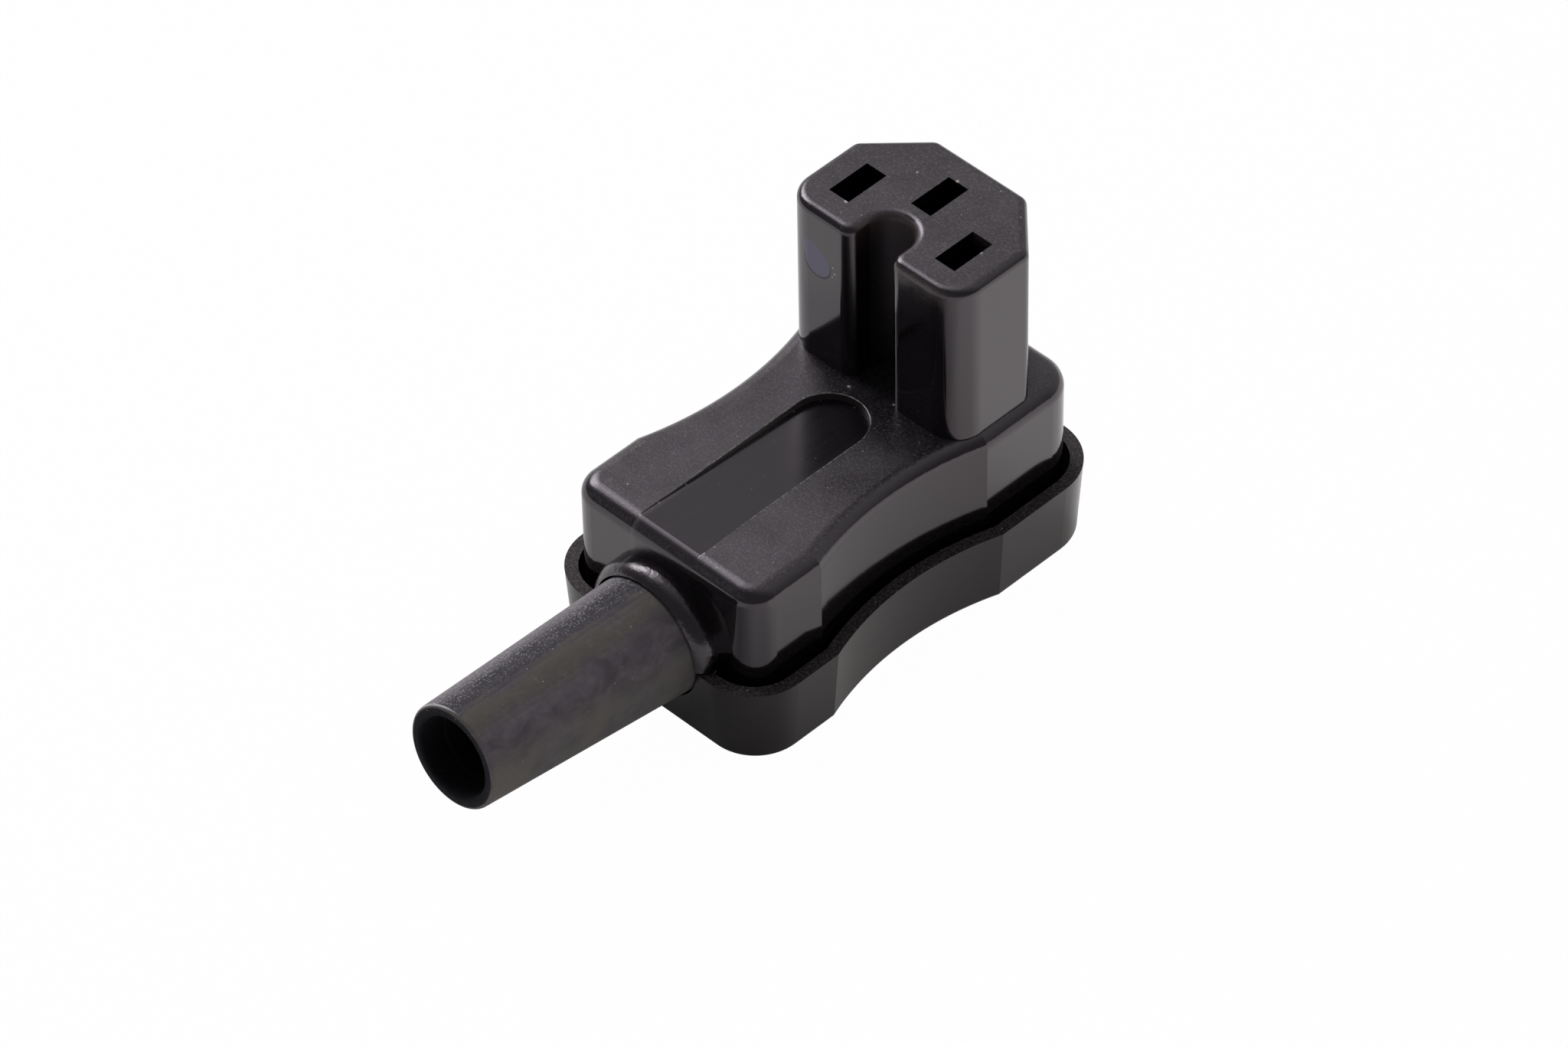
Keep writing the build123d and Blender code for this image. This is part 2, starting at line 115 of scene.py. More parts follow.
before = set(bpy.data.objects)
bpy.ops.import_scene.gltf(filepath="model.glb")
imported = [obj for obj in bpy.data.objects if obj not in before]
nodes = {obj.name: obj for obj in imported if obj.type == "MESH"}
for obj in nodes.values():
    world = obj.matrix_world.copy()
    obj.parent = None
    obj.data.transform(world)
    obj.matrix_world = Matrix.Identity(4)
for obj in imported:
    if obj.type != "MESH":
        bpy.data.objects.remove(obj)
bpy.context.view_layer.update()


class Graph:
    """Short calls for building a node tree. Masks are 1 where a thing is and 0 elsewhere."""

    def __init__(self, tree):
        self.tree = tree
        tree.nodes.clear()

    def add(self, kind, inputs=None, **settings):
        """New node, with each input linked to a socket or set to a value."""
        node = self.tree.nodes.new(kind)
        for name, value in settings.items():
            setattr(node, name, value)
        for name, value in (inputs or {}).items():
            socket = node.inputs[name]
            if isinstance(value, bpy.types.NodeSocket):
                self.tree.links.new(value, socket)
            else:
                socket.default_value = value
        return node

    def math(self, operation, a, b=0.0, clamp=False):
        node = self.add("ShaderNodeMath", {0: a, 1: b}, operation=operation, use_clamp=clamp)
        return node.outputs[0]

    def multiply(self, first, *others):
        for other in others:
            first = self.math("MULTIPLY", first, other)
        return first

    def highest(self, first, *others):
        for other in others:
            first = self.math("MAXIMUM", first, other)
        return first

    def outside(self, mask):
        return self.math("SUBTRACT", 1.0, mask)

    def above(self, value, limit):
        """1 above a limit in millimetres."""
        return self.math("GREATER_THAN", value, limit * MM)

    def below(self, value, limit):
        """1 below a limit in millimetres."""
        return self.math("LESS_THAN", value, limit * MM)

    def ramp(self, value, low, high, start=0.0, end=1.0):
        """start where value is below low, end where it is above high, smooth between."""
        node = self.add(
            "ShaderNodeMapRange",
            {"Value": value, "From Min": low, "From Max": high, "To Min": start, "To Max": end},
            interpolation_type="SMOOTHSTEP",
        )
        return node.outputs["Result"]

    def ramp_mm(self, value, low, high, start=0.0, end=1.0):
        """Ramp with its two limits in millimetres."""
        return self.ramp(value, low * MM, high * MM, start, end)

    def mix(self, factor, a, b):
        return self.add("ShaderNodeMix", {0: factor, 2: a, 3: b}, data_type="FLOAT").outputs[0]

    def mix_colour(self, factor, a, b):
        return self.add("ShaderNodeMix", {0: factor, 6: a, 7: b}, data_type="RGBA").outputs[2]

    def cover(self, value, *coats):
        """Cover a number with others in turn, each given as its mask and its value."""
        for mask, coat in coats:
            value = self.mix(mask, value, coat)
        return value

    def paint(self, colour, *coats):
        """Cover a colour with others in turn, each given as its mask and its colour."""
        for mask, coat in coats:
            colour = self.mix_colour(mask, colour, coat)
        return colour

    def noise(self, place, scale, detail, roughness, distortion=0.0):
        node = self.add(
            "ShaderNodeTexNoise",
            {"Vector": place, "Scale": scale, "Detail": detail, "Roughness": roughness,
             "Distortion": distortion},
        )
        return node.outputs["Fac"]

    def stretch(self, place, scale, turn=0.0):
        """Place scaled along each axis and turned about the vertical by an angle in radians."""
        node = self.add(
            "ShaderNodeMapping", {"Vector": place, "Scale": scale, "Rotation": (0.0, 0.0, turn)}
        )
        return node.outputs["Vector"]

    def dust(self, place, density, size, seed, share):
        """1 on tiny scattered specks, in a share of the cells of a 3-D pattern."""
        shift = (seed, seed * 0.7, seed * 0.3)
        moved = self.add("ShaderNodeMapping", {"Vector": place, "Location": shift})
        inputs = {"Vector": moved.outputs["Vector"], "Scale": density}
        cells = self.add("ShaderNodeTexVoronoi", inputs, feature="F1")
        close = self.ramp(cells.outputs["Distance"], size * 0.5, size, 1.0, 0.0)
        pick = self.add("ShaderNodeSeparateColor", {0: cells.outputs["Color"]}).outputs[0]
        return self.multiply(close, self.math("LESS_THAN", pick, share))

    def axes(self, place):
        node = self.add("ShaderNodeSeparateXYZ", {0: place})
        return node.outputs[0], node.outputs[1], node.outputs[2]

    def face_normal(self):
        return self.add("ShaderNodeNewGeometry").outputs["True Normal"]

    def vector(self, operation, a, b=(0.0, 0.0, 0.0)):
        """Vector that a vector operation gives."""
        return self.add("ShaderNodeVectorMath", {0: a, 1: b}, operation=operation).outputs["Vector"]

    def measure(self, operation, a, b=(0.0, 0.0, 0.0)):
        """Number that a vector operation gives."""
        return self.add("ShaderNodeVectorMath", {0: a, 1: b}, operation=operation).outputs["Value"]

    def along(self, vector, direction):
        """Component of a vector along a direction."""
        return self.measure("DOT_PRODUCT", vector, direction)

    def near(self, place, centre, radius, soft=0.5):
        """1 within a radius of a point in millimetres, 0 beyond it."""
        distance = self.measure("DISTANCE", place, [v * MM for v in centre])
        return self.ramp_mm(distance, radius * (1 - soft), radius, 1.0, 0.0)

    def spots(self, place, rows):
        """1 in any of the round spots, each a centre, a radius and maybe a softness."""
        return self.highest(*[self.near(place, *row) for row in rows])

    def scratch(self, place, start, end, width):
        """1 on a thin straight line between two points in millimetres, 0 elsewhere."""
        a, b = Vector(start) * MM, Vector(end) * MM
        run = b - a
        from_start = self.vector("SUBTRACT", place, a)
        share = self.along(from_start, run / run.length_squared)
        share = self.add("ShaderNodeClamp", {"Value": share, "Min": 0.0, "Max": 1.0}).outputs[0]
        foot = self.add("ShaderNodeVectorMath", {0: run, "Scale": share}, operation="SCALE")
        gap = self.measure("DISTANCE", from_start, foot.outputs["Vector"])
        return self.ramp_mm(gap, width * 0.25, width * 0.75, 1.0, 0.0)


class Finish(Graph):
    """Node tree of one material with a single Principled shader."""

    def __init__(self, name):
        self.material = bpy.data.materials.new(name)
        self.material.use_nodes = True
        super().__init__(self.material.node_tree)
        self.shader = self.add("ShaderNodeBsdfPrincipled")
        self.add("ShaderNodeOutputMaterial", {"Surface": self.shader.outputs["BSDF"]})
        self.place = self.add("ShaderNodeTexCoord").outputs["Object"]

    def link(self, name, socket):
        self.tree.links.new(socket, self.shader.inputs[name])

    def bump(self, height, strength, distance):
        """Fine relief, its distance in millimetres."""
        node = self.add(
            "ShaderNodeBump", {"Height": height, "Strength": strength, "Distance": distance * MM}
        )
        self.link("Normal", node.outputs["Normal"])

    def specular(self, level, tint=(1.0, 1.0, 1.0)):
        """Uniform settings of the mirrored light, set on the sockets, as the export keeps them."""
        self.shader.inputs["IOR"].default_value = PLASTIC_IOR
        self.shader.inputs["Specular IOR Level"].default_value = level
        self.shader.inputs["Specular Tint"].default_value = (*tint, 1.0)


def grey(value, warm=0.0):
    """Near neutral linear colour: warm above zero leans to brown, below zero to blue."""
    return (value * (1 + warm), value, value * (1 - warm), 1.0)


def rgb(red, green, blue):
    """Linear colour."""
    return (red, green, blue, 1.0)


def housing_plastic():
    """Black moulding: grained satin on level faces, glossy on the walls and in the recess."""
    g = Finish("housing_plastic")
    place = g.place
    x, y, z = g.axes(place)
    normal = g.face_normal()
    level = g.ramp(g.along(normal, UP), 0.75, 0.97)
    steep = g.outside(level)

    # Recess: a strip with one round end
    beyond = g.math("MAXIMUM", g.math("SUBTRACT", y, RECESS_CENTRE * MM), 0.0)
    across = g.math("SQRT", g.math("ADD", g.multiply(x, x), g.multiply(beyond, beyond)))
    strip = g.ramp_mm(across, RECESS_HALF_WIDTH - 0.04, RECESS_HALF_WIDTH + 0.04, 1.0, 0.0)
    recess = g.multiply(strip, g.below(z, BODY_TOP + 0.05))

    # Bead round the root of the sleeve, and all level faces outside it and the recess
    bead = g.multiply(g.below(y, BODY_REAR - 0.15), g.below(z, BODY_TOP - 2.2))
    grained = g.multiply(level, g.outside(g.highest(recess, bead)))

    # Narrow band along the edge of the recess, and the recess walls within it
    from_edge = g.math("ABSOLUTE", g.math("SUBTRACT", across, RECESS_HALF_WIDTH * MM))
    at_edge = g.multiply(
        g.ramp_mm(from_edge, 0.08, 0.35, 1.0, 0.0),
        g.above(z, BODY_TOP - 1.2), g.below(z, BODY_TOP + 0.1),
    )
    recess_wall = g.multiply(
        at_edge, steep, g.below(z, BODY_TOP - 0.02), g.above(y, BODY_REAR + 1.6)
    )

    # Keyed notch, and the rounded lip on its left
    notch = g.multiply(
        g.ramp_mm(g.math("ABSOLUTE", x), NOTCH_HALF_WIDTH - 0.1, NOTCH_HALF_WIDTH + 0.1, 1.0, 0.0),
        g.above(z, HEAD_FOOT), g.below(y, NOTCH_END), steep,
    )
    sideways = g.math("ABSOLUTE", g.along(normal, TO_RIGHT))
    lip = g.multiply(
        g.ramp_mm(x, NOTCH_LIP_LEFT - 0.15, NOTCH_LIP_LEFT + 0.15), g.below(x, NOTCH_LIP_RIGHT),
        g.ramp(sideways, 0.06, 0.25), g.above(z, HEAD_FOOT), g.below(y, NOTCH_LIP_END), steep,
    )

    fine = g.noise(place, scale=6500, detail=2, roughness=0.6)
    grit = g.noise(place, scale=3600, detail=3, roughness=0.7)
    medium = g.noise(place, scale=1700, detail=3, roughness=0.6)
    broad = g.noise(place, scale=240, detail=3, roughness=0.55)
    cloud = g.noise(place, scale=520, detail=4, roughness=0.65, distortion=0.4)
    smudge = g.noise(place, scale=190, detail=4, roughness=0.6, distortion=0.6)
    smudge = g.ramp(smudge, 0.36, 0.62)
    streak = g.noise(g.stretch(place, (1500, 110, 300), 0.06), scale=1, detail=3, roughness=0.6)
    along_deck = g.stretch(place, (6200, 520, 800), 0.5)
    across_deck = g.stretch(place, (560, 6400, 800), 0.3)
    long_scuffs = g.noise(along_deck, scale=1, detail=2, roughness=0.5)
    cross_scuffs = g.noise(across_deck, scale=1, detail=2, roughness=0.5)
    scuffs = g.highest(g.ramp(long_scuffs, 0.66, 0.74), g.ramp(cross_scuffs, 0.67, 0.75))

    # Haze and a duller veil below the top edge of the head, on its cord side right of the notch
    below_edge = g.ramp_mm(
        g.math("ADD", z, g.multiply(cloud, 3.5 * MM)), HEAD_TOP - 1.6, HEAD_TOP + 1.8
    )
    cord_side = g.multiply(g.ramp(g.along(normal, TO_CORD), 0.5, 0.9), g.ramp_mm(x, 1.5, 3.0))
    haze = g.multiply(below_edge, cord_side, steep)
    veil = g.multiply(g.ramp_mm(z, HEAD_TOP - 7.9, HEAD_TOP - 3.9), cord_side, steep)

    # Painted highlight along the rear edge of the deck: a lighter band on its rounded edge, broken
    # by grit
    rear_edge_highlight = g.multiply(
        g.ramp_mm(y, BODY_REAR + 0.2, BODY_REAR + 0.9, 1.0, 0.0),
        g.ramp_mm(z, BODY_TOP - 1.1, BODY_TOP - 0.4), g.ramp(grit, 0.36, 0.66),
    )

    # Dried drop with a darker lower border
    drop = g.spots(place, DROP)
    inner_drop = g.spots(place, DROP_INSIDE)
    border = g.math("SUBTRACT", drop, inner_drop, clamp=True)

    hairlines = g.highest(*[g.scratch(place, *row) for row in HAIRLINES])
    chips_and_glint = g.spots(place, CHIPS_AND_GLINT)

    # Dust: scattered specks, and more of it held along the edge of the recess
    specks = g.highest(
        g.dust(place, density=420, size=0.055, seed=3.1, share=0.8),
        g.dust(place, density=1000, size=0.085, seed=6.4, share=0.6),
    )
    shown = g.multiply(
        g.mix(level, 0.07, 0.75), g.mix(recess, 1.0, 0.3), g.ramp(medium, 0.3, 0.6, 0.3, 1.0)
    )
    held = g.multiply(
        at_edge, level, g.dust(place, density=1500, size=0.22, seed=2.2, share=0.8)
    )

    walls = g.mix(broad, 0.075, 0.115)
    satin = g.mix(smudge, 0.27, 0.34)
    g.link("Roughness", g.cover(
        walls,
        (grained, satin),
        (recess, g.mix(streak, 0.15, 0.27)),
        (recess_wall, 0.55),
        (bead, g.mix(cloud, 0.14, 0.28)),
        (veil, g.mix(haze, 0.20, 0.42)),
        (g.multiply(rear_edge_highlight, 0.7), 0.5),
        (border, 0.55),
        (notch, 0.55),
        (lip, 0.25),
    ))

    # Painted light: the recess walls and its left corner are painted lighter toward the head, where
    # they catch light
    toward_head = g.ramp_mm(y, -21, -10, 1.0, 0.08)
    corner = g.multiply(
        g.ramp_mm(x, -RECESS_HALF_WIDTH, 0.75 - RECESS_HALF_WIDTH, 1.0, 0.0), recess, toward_head,
        g.mix(g.ramp(grit, 0.35, 0.65), 0.6, 1.0),
    )
    grain = g.multiply(g.mix(g.ramp(fine, 0.36, 0.66), 0.3, 1.0), g.ramp(grit, 0.46, 0.70))
    notch_top = g.multiply(notch, g.ramp_mm(z, HEAD_TOP - 4.4, HEAD_TOP))
    dusty_haze = g.multiply(haze, g.ramp(grit, 0.30, 0.68, 0.25, 1.0))
    black = g.mix_colour(broad, rgb(0.0030, 0.0026, 0.0036), rgb(0.0052, 0.0044, 0.0046))
    g.link("Base Color", g.paint(
        black,
        (g.multiply(grain, grained), rgb(0.090, 0.079, 0.094)),
        (g.multiply(scuffs, grained, 0.5), grey(0.09, -0.03)),
        # Painted highlight on the rounded rear edge of the deck
        (g.multiply(rear_edge_highlight, 0.75), rgb(0.085, 0.078, 0.088)),
        (g.multiply(recess, streak), rgb(0.0050, 0.0042, 0.0052)),
        # Painted light on the recess walls and the left corner of the recess, lighter toward the
        # head
        (g.multiply(recess_wall, toward_head), rgb(0.20, 0.18, 0.165)),
        (corner, rgb(0.070, 0.064, 0.066)),
        (dusty_haze, rgb(0.062, 0.050, 0.047)),
        (inner_drop, rgb(0.016, 0.021, 0.095)),
        (g.multiply(border, 0.9), grey(0.002)),
        # Painted shade: the notch and its lip near black, darker than the moulding, with a lighter
        # brown toward the top of the notch
        (g.highest(notch, lip), rgb(0.0004, 0.0003, 0.0006)),
        (notch_top, rgb(0.020, 0.012, 0.009)),
        (g.multiply(hairlines, 0.8), grey(0.003)),
        (g.multiply(specks, shown), grey(0.42)),
        (g.multiply(held, 0.8), grey(0.45, 0.03)),
        # Pale chips, and a painted glint at the far end of the earth opening
        (g.multiply(chips_and_glint, 0.8), grey(0.45, 0.12)),
    ))

    height = g.multiply(g.math("ADD", fine, g.multiply(medium, 0.6)), g.mix(grained, 0.03, 1.0))
    height = g.math("ADD", height, g.multiply(bead, cloud, 8.0))
    height = g.math("SUBTRACT", height, g.multiply(hairlines, 1.2))
    g.bump(height, strength=0.5, distance=0.03)
    g.specular(level=0.9, tint=(1.0, 0.90, 1.0))
    return g.material


def cover_plastic():
    """Satin black moulding with a duller, coarsely mottled rim."""
    g = Finish("cover_plastic")
    place = g.place
    level = g.ramp(g.along(g.face_normal(), UP), 0.6, 0.95)
    fine = g.noise(place, scale=5200, detail=3, roughness=0.65)
    coarse = g.noise(place, scale=3600, detail=3, roughness=0.7)
    broad = g.noise(place, scale=230, detail=3, roughness=0.5)
    specks = g.dust(place, density=800, size=0.09, seed=8.3, share=0.8)
    g.link("Roughness", g.mix(level, g.mix(broad, 0.17, 0.26), g.mix(fine, 0.55, 0.8)))
    black = g.mix_colour(broad, grey(0.003, -0.04), grey(0.006, 0.08))
    rim = g.mix_colour(
        g.ramp(coarse, 0.42, 0.66), rgb(0.0065, 0.0054, 0.0058), rgb(0.068, 0.058, 0.059)
    )
    g.link("Base Color", g.paint(
        black,
        (level, rim),
        (g.multiply(specks, g.mix(level, 0.06, 0.7)), grey(0.35, 0.05)),
    ))
    g.bump(g.multiply(fine, g.mix(level, 0.10, 1.0)), strength=0.4, distance=0.04)
    g.specular(level=0.45, tint=(1.0, 0.89, 0.98))
    return g.material


def sleeve_rubber():
    """Matt dark rubber with painted light and shade: grained on its lit side with pale specks
    painted as glints, a painted olive sheen below it, and painted shade near black in the mouth.
    """
    g = Finish("sleeve_rubber")
    place = g.place
    normal = g.face_normal()
    fine = g.noise(place, scale=4300, detail=3, roughness=0.7)
    medium = g.noise(place, scale=1300, detail=3, roughness=0.6)
    patches = g.noise(
        g.stretch(place, (420, 260, 420)), scale=1, detail=3, roughness=0.6, distortion=0.5
    )
    broad = g.noise(place, scale=150, detail=3, roughness=0.5)

    # Bands of painted light and shade along the sleeve, set by how each face turns to the lamp: a
    # painted light edge, a darker upper band, a painted olive sheen and a lighter low side
    around = g.along(normal, SLEEVE_LIT_SIDE)
    wander = g.math("ADD", around, g.multiply(g.math("SUBTRACT", patches, 0.5), 0.7))
    painted_light_edge = g.ramp(around, 0.80, 1.0, 0.0, 0.85)
    upper = g.ramp(wander, 0.36, 0.70)
    painted_olive_sheen = g.multiply(
        g.ramp(wander, -0.05, 0.35), g.ramp(wander, 0.35, 0.70, 1.0, 0.0),
        g.ramp(medium, 0.30, 0.60, 0.65, 1.0), g.mix(broad, 0.7, 1.0),
    )
    low = g.multiply(g.ramp(around, -0.70, -0.25, 1.0, 0.0), g.ramp(broad, 0.30, 0.65, 0.35, 0.9))

    # Mouth: flat end painted dark as shade, a painted glint on its outer edge, and the inside out
    # to its inner edge, painted near black as shade
    endward = g.along(normal, SLEEVE_DIRECTION)
    end_face = g.ramp(endward, 0.96, 0.995)
    painted_glint = g.multiply(
        g.ramp(endward, 0.15, 0.40), g.ramp(endward, 0.65, 0.90, 1.0, 0.0),
        g.ramp(around, 0.45, 0.75),
    )
    from_point = g.vector("SUBTRACT", place, Vector(SLEEVE_POINT) * MM)
    radius = g.measure("LENGTH", g.vector("CROSS_PRODUCT", from_point, SLEEVE_DIRECTION))
    inside = g.ramp_mm(radius, MOUTH_RADIUS + 0.35, MOUTH_RADIUS + 0.55, 1.0, 0.0)

    # Real grain, its specks painted pale as glints, strongest on the side facing the lamp
    grain = g.highest(
        g.dust(place, density=3300, size=0.42, seed=4.4, share=0.7),
        g.dust(place, density=5200, size=0.40, seed=1.3, share=0.55),
        g.ramp(fine, 0.62, 0.73),
    )
    grain = g.multiply(
        grain, g.ramp(medium, 0.25, 0.65, 0.35, 1.0), g.ramp(around, 0.55, 0.98, 0.15, 1.0)
    )
    specks = g.highest(
        g.dust(place, density=640, size=0.07, seed=5.7, share=0.7),
        g.dust(place, density=1100, size=0.10, seed=9.2, share=0.35),
    )

    g.link("Roughness", g.cover(
        g.mix(patches, 0.58, 0.74), (end_face, 0.95), (painted_glint, 0.3), (inside, 0.92)
    ))

    patchy = g.ramp(patches, 0.3, 0.7)
    dull = g.mix_colour(patchy, rgb(0.084, 0.074, 0.087), rgb(0.175, 0.156, 0.176))
    under_grain = g.mix_colour(patchy, rgb(0.008, 0.006, 0.011), rgb(0.026, 0.022, 0.030))
    end_colour = g.mix_colour(
        g.ramp(fine, 0.4, 0.7), rgb(0.008, 0.009, 0.011), rgb(0.028, 0.030, 0.038)
    )
    g.link("Base Color", g.paint(
        dull,
        # Painted light and shade by facing: olive sheen band, lighter low side, darker upper band
        # and light edge
        (painted_olive_sheen, rgb(0.082, 0.076, 0.050)),
        (g.multiply(g.ramp(medium, 0.35, 0.65), 0.3), rgb(0.090, 0.080, 0.094)),
        (low, rgb(0.172, 0.161, 0.143)),
        (g.multiply(upper, 0.9), under_grain),
        (painted_light_edge, rgb(0.19, 0.176, 0.190)),
        # Grain specks painted pale as glints
        (g.multiply(grain, g.mix(upper, 0.08, 0.95)), rgb(0.34, 0.32, 0.37)),
        # Painted shade on the flat end and inside of the mouth, and a painted glint on its outer
        # edge
        (end_face, end_colour),
        (painted_glint, rgb(0.42, 0.40, 0.42)),
        (inside, rgb(0.0035, 0.0030, 0.0050)),
        (g.multiply(specks, g.mix(inside, 0.55, 0.1)), grey(0.42)),
    ))
    g.bump(g.math("ADD", fine, g.multiply(medium, 1.2)), strength=0.55, distance=0.05)
    g.specular(level=0.32, tint=(1.0, 0.93, 1.0))
    return g.material


def metal(name, colour, dark, rough):
    """Pressed or turned metal with fine lines and slight staining."""
    g = Finish(name)
    lines = g.noise(g.stretch(g.place, (400, 400, 5200)), scale=1, detail=3, roughness=0.6)
    stain = g.noise(g.place, scale=600, detail=3, roughness=0.6)
    g.link("Base Color", g.mix_colour(g.ramp(stain, 0.35, 0.75), colour, dark))
    g.link("Roughness", g.mix(lines, rough, rough + 0.16))
    g.bump(lines, strength=0.2, distance=0.02)
    g.shader.inputs["Metallic"].default_value = 1.0
    return g.material


def inner_plastic():
    """Dull black moulding for the pieces inside."""
    g = Finish("inner_plastic")
    fine = g.noise(g.place, scale=3800, detail=3, roughness=0.6)
    g.link("Base Color", g.mix_colour(fine, grey(0.010), grey(0.022)))
    g.link("Roughness", g.mix(fine, 0.4, 0.6))
    g.bump(fine, strength=0.3, distance=0.03)
    return g.material


def lip_plastic_painted_highlight():
    """Glossy plastic of the rounded edge of the recess, painted a broken lighter grey as a painted
    highlight.
    """
    g = Finish("lip_plastic_painted_highlight")
    medium = g.noise(g.place, scale=900, detail=3, roughness=0.6)
    broken = g.ramp(g.noise(g.place, scale=2200, detail=3, roughness=0.7), 0.42, 0.62)
    # Painted highlight: broken lighter grey along the lip
    g.link("Base Color", g.mix_colour(broken, grey(0.045), grey(0.15, 0.03)))
    g.link("Roughness", g.mix(medium, 0.05, 0.15))
    g.specular(level=0.9)
    return g.material


def pale_fleck():
    """Pale torn plastic of a moulding nub."""
    g = Finish("pale_fleck")
    torn = g.noise(g.place, scale=5000, detail=3, roughness=0.6)
    g.link("Base Color", g.mix_colour(torn, grey(0.12), grey(0.5)))
    g.link("Roughness", g.mix(torn, 0.3, 0.5))
    return g.material


def dress_nodes():
    """Give each piece of the CAD its material."""
    brass = metal("pressed_brass", rgb(0.80, 0.60, 0.27), rgb(0.55, 0.38, 0.16), 0.22)
    turned_brass = metal("turned_brass", rgb(0.76, 0.58, 0.29), rgb(0.50, 0.36, 0.17), 0.26)
    plated_steel = metal("plated_steel", rgb(0.66, 0.66, 0.64), rgb(0.42, 0.41, 0.40), 0.24)
    inner = inner_plastic()
    finish = {
        "upper_housing": housing_plastic(),
        "bottom_cover": cover_plastic(),
        "bend_sleeve": sleeve_rubber(),
        "contact_retainer": inner,
        "cord_clamp": inner,
    }
    for name, obj in nodes.items():
        if name in finish:
            material = finish[name]
        elif "screw" in name:
            material = plated_steel
        elif "contact" in name:
            material = brass
        else:
            material = turned_brass
        obj.data.materials.clear()
        obj.data.materials.append(material)


def add_piece(name, shape, material):
    """Turn a finished shape into a smooth piece that rides on the part."""
    mesh = bpy.data.meshes.new(name)
    shape.to_mesh(mesh)
    shape.free()
    mesh.materials.append(material)
    for face in mesh.polygons:
        face.use_smooth = True
    obj = bpy.data.objects.new(name, mesh)
    bpy.context.scene.collection.objects.link(obj)
    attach(obj, "root")


def recess_route():
    """Points along the edge of the recess, each with its outward direction, in millimetres."""
    straight = [
        LIP_REAR + (RECESS_CENTRE - LIP_REAR) * step / LIP_STRAIGHT_STEPS
        for step in range(LIP_STRAIGHT_STEPS)
    ]
    route = [(RECESS_HALF_WIDTH, y, 1, 0) for y in straight]
    for step in range(LIP_ROUND_STEPS + 1):
        angle = math.pi * step / LIP_ROUND_STEPS
        c, s = math.cos(angle), math.sin(angle)
        route.append((RECESS_HALF_WIDTH * c, RECESS_CENTRE + RECESS_HALF_WIDTH * s, c, s))
    route.extend((-RECESS_HALF_WIDTH, y, -1, 0) for y in reversed(straight))
    return route


def recess_lip():
    """Rounded lip along the edge of the recess, which catches a thin line of light, with a painted
    highlight in its lighter colour.
    """
    route = recess_route()
    last = len(route) - 1
    shape = bmesh.new()
    rings = []
    for index, (x, y, nx, ny) in enumerate(route):
        thin = min(1.0, LIP_THIN_END + min(index, last - index) / LIP_TAPER_STEPS)
        ring = []
        for side in range(LIP_SIDES):
            turn = 2 * math.pi * side / LIP_SIDES
            out = LIP_HALF_WIDTH * thin * math.cos(turn)
            up = BODY_TOP - LIP_SINK + LIP_HALF_HEIGHT * thin * math.sin(turn)
            ring.append(shape.verts.new(((x + nx * out) * MM, (y + ny * out) * MM, up * MM)))
        rings.append(ring)
    for first, second in zip(rings, rings[1:]):
        for side in range(LIP_SIDES):
            after = (side + 1) % LIP_SIDES
            shape.faces.new((first[side], first[after], second[after], second[side]))
    shape.faces.new(list(reversed(rings[0])))
    shape.faces.new(rings[-1])
    bmesh.ops.recalc_face_normals(shape, faces=shape.faces[:])
    add_piece("recess_lip", shape, lip_plastic_painted_highlight())


def gate_nub():
    """Moulding nub between the recess and the head."""
    chance = random.Random(NUB_SEED)
    shape = bmesh.new()
    bmesh.ops.create_icosphere(shape, subdivisions=3, radius=1.0)
    for vert in shape.verts:
        vert.co *= 1 + NUB_UNEVEN * (chance.random() - 0.5)
        vert.co = Vector([v * r + c for v, r, c in zip(vert.co, NUB_RADII, NUB_CENTRE)]) * MM
    add_piece("gate_nub", shape, pale_fleck())


def floor_material():
    """Almost white to the camera, and a pale matt surface in light and in mirror images."""
    material = bpy.data.materials.new("floor")
    material.use_nodes = True
    g = Graph(material.node_tree)
    place = g.add("ShaderNodeTexCoord").outputs["Object"]
    x, y, _ = g.axes(place)
    path = g.add("ShaderNodeLightPath")

    # Glow that only mirror images show: strong on the right of the part, faint on its left
    right = g.multiply(
        g.ramp_mm(g.along(place, (0.71, 0.70, 0.0)), -60, 30, 0.04, 0.47),
        g.ramp_mm(x, 12, 30, 0.85, 1.0), g.ramp_mm(y, -40, -25, 0.45, 1.0),
    )
    left = g.ramp_mm(g.along(place, (-0.71, -0.71, 0.0)), 36, 46, 0.0, 0.18)
    glow = g.multiply(path.outputs["Is Glossy Ray"], g.highest(right, left))

    matt = g.add("ShaderNodeBsdfDiffuse", {"Color": grey(FLOOR_ALBEDO)})
    mirrored = g.add("ShaderNodeEmission", {"Color": rgb(1, 0.975, 0.92), "Strength": glow})
    lit = g.add("ShaderNodeAddShader", {0: matt.outputs[0], 1: mirrored.outputs[0]})
    white = g.add("ShaderNodeEmission", {"Color": grey(1), "Strength": 1.0})
    shown = g.multiply(path.outputs["Is Camera Ray"], FLOOR_SHOWN)
    both = g.add("ShaderNodeMixShader", {0: shown, 1: lit.outputs[0], 2: white.outputs[0]})
    g.add("ShaderNodeOutputMaterial", {"Surface": both.outputs[0]})
    return material


def lay_floor():
    """Level sheet just below the part."""
    mesh = bpy.data.meshes.new("floor")
    reach = FLOOR_REACH
    corners = [(-reach, -reach, 0), (reach, -reach, 0), (reach, reach, 0), (-reach, reach, 0)]
    mesh.from_pydata(corners, [], [(0, 1, 2, 3)])
    mesh.materials.append(floor_material())
    floor = bpy.data.objects.new("floor", mesh)
    floor.location.z = -FLOOR_GAP * MM
    bpy.context.scene.collection.objects.link(floor)


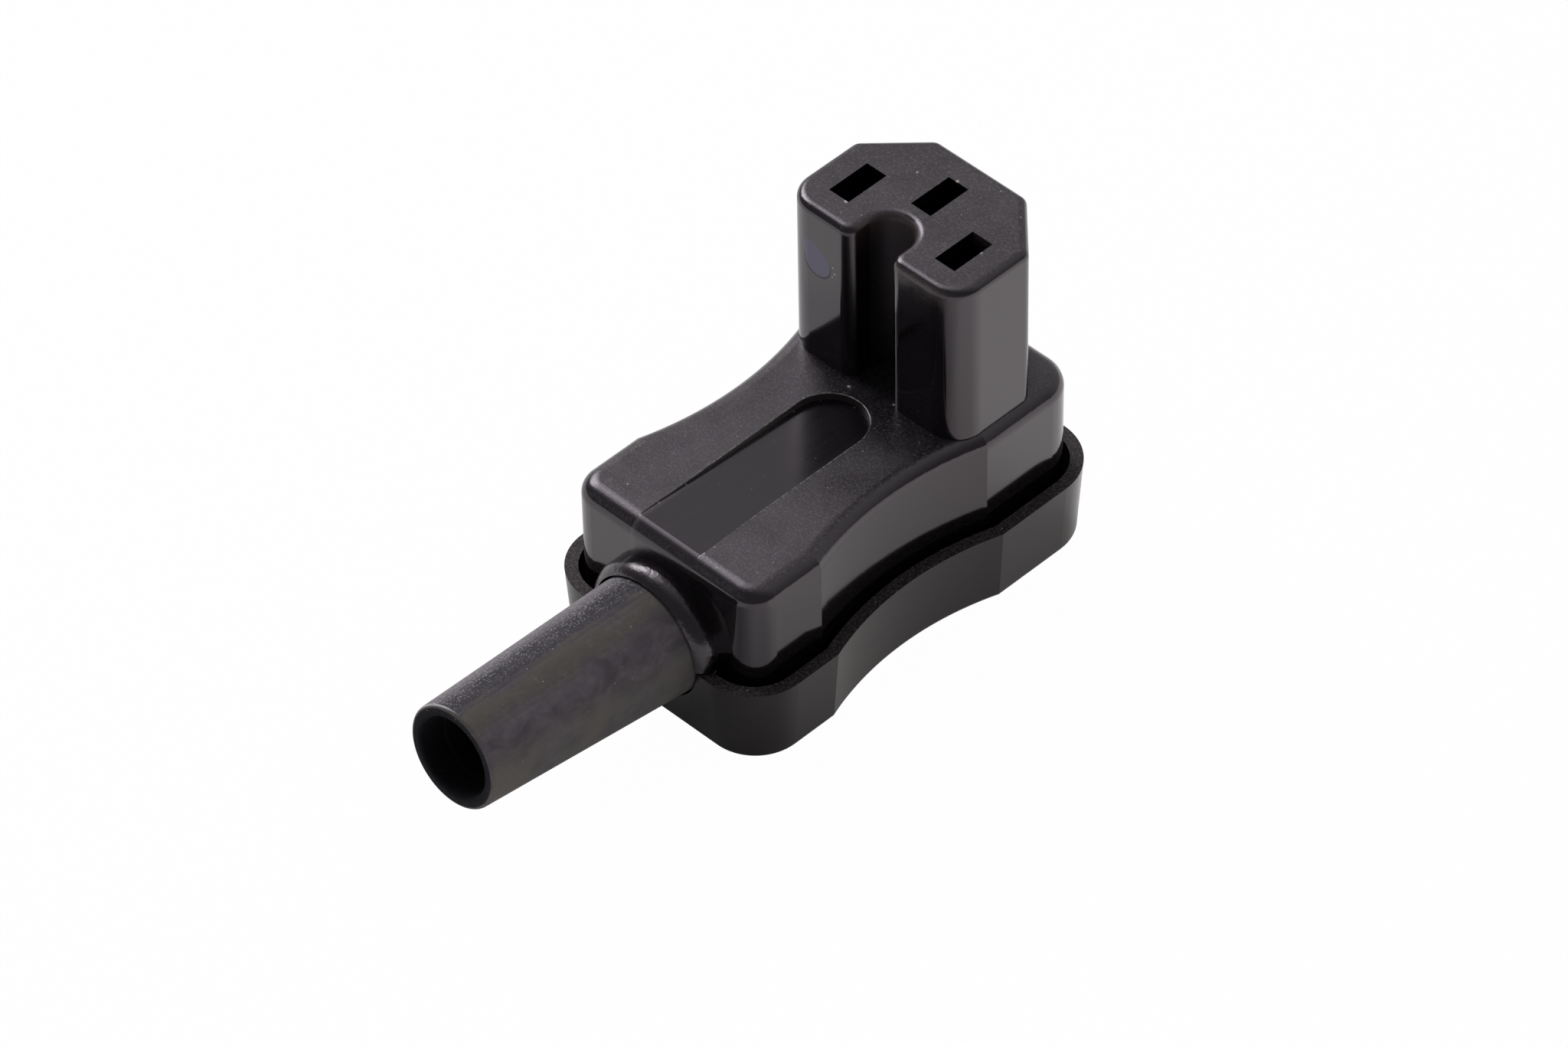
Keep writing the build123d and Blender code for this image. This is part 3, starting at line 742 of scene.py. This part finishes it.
def light_world():
    """Pale studio, brighter behind and over the part, pure white where the camera sees it."""
    world = bpy.data.worlds.new("studio")
    world.use_nodes = True
    bpy.context.scene.world = world
    g = Graph(world.node_tree)
    direction = g.add("ShaderNodeTexCoord").outputs["Generated"]
    behind = g.along(direction, Vector(BEHIND).normalized())
    overhead = g.along(direction, Vector(OVERHEAD).normalized())
    strength = g.math(
        "ADD", g.ramp(behind, -0.05, 0.75, 0.18, 0.52), g.ramp(overhead, 0.93, 0.985, 0.0, 1.1)
    )
    room = g.add("ShaderNodeBackground", {"Color": rgb(1, 0.99, 1), "Strength": strength})
    white = g.add("ShaderNodeBackground", {"Color": grey(1), "Strength": 1.0})
    seen = g.add("ShaderNodeLightPath").outputs["Is Camera Ray"]
    both = g.add("ShaderNodeMixShader", {0: seen, 1: room.outputs[0], 2: white.outputs[0]})
    g.add("ShaderNodeOutputWorld", {"Surface": both.outputs[0]})


def key_softbox():
    """Large square lamp that faces the middle of the body."""
    lamp = bpy.data.lights.new("key_softbox", "AREA")
    lamp.shape = "RECTANGLE"
    lamp.size = KEY_SIZE
    lamp.size_y = KEY_SIZE
    lamp.energy = KEY_POWER
    obj = bpy.data.objects.new("key_softbox", lamp)
    away = Vector(KEY_DIRECTION).normalized()
    obj.location = Vector(CAMERA_TARGET) * MM + away * KEY_DISTANCE
    obj.rotation_mode = "QUATERNION"
    obj.rotation_quaternion = away.to_track_quat("Z", "Y")
    bpy.context.scene.collection.objects.link(obj)


def place_camera():
    """Camera at the photograph's viewing angle."""
    a, e, r = (math.radians(v) for v in (CAMERA_AZIMUTH, CAMERA_ELEVATION, CAMERA_ROLL))
    back = Vector((math.sin(a) * math.cos(e), -math.cos(a) * math.cos(e), math.sin(e)))
    right = Vector((math.cos(a), math.sin(a), 0))
    up = back.cross(right)
    level_right = right * math.cos(r) + up * math.sin(r)
    level_up = up * math.cos(r) - right * math.sin(r)
    eye = (Vector(CAMERA_TARGET) + back * CAMERA_DISTANCE) * MM
    data = bpy.data.cameras.new("camera")
    data.lens = CAMERA_LENS
    data.sensor_width = CAMERA_SENSOR
    data.sensor_fit = "HORIZONTAL"
    data.clip_start, data.clip_end = CAMERA_CLIP
    camera = bpy.data.objects.new("camera", data)
    turn = Matrix((level_right, level_up, back)).transposed().to_4x4()
    camera.matrix_world = Matrix.Translation(eye) @ turn
    bpy.context.scene.collection.objects.link(camera)
    bpy.context.scene.camera = camera


dress_nodes()
recess_lip()
gate_nub()
lay_floor()
light_world()
key_softbox()
place_camera()
bpy.context.scene.view_settings.view_transform = "Standard"
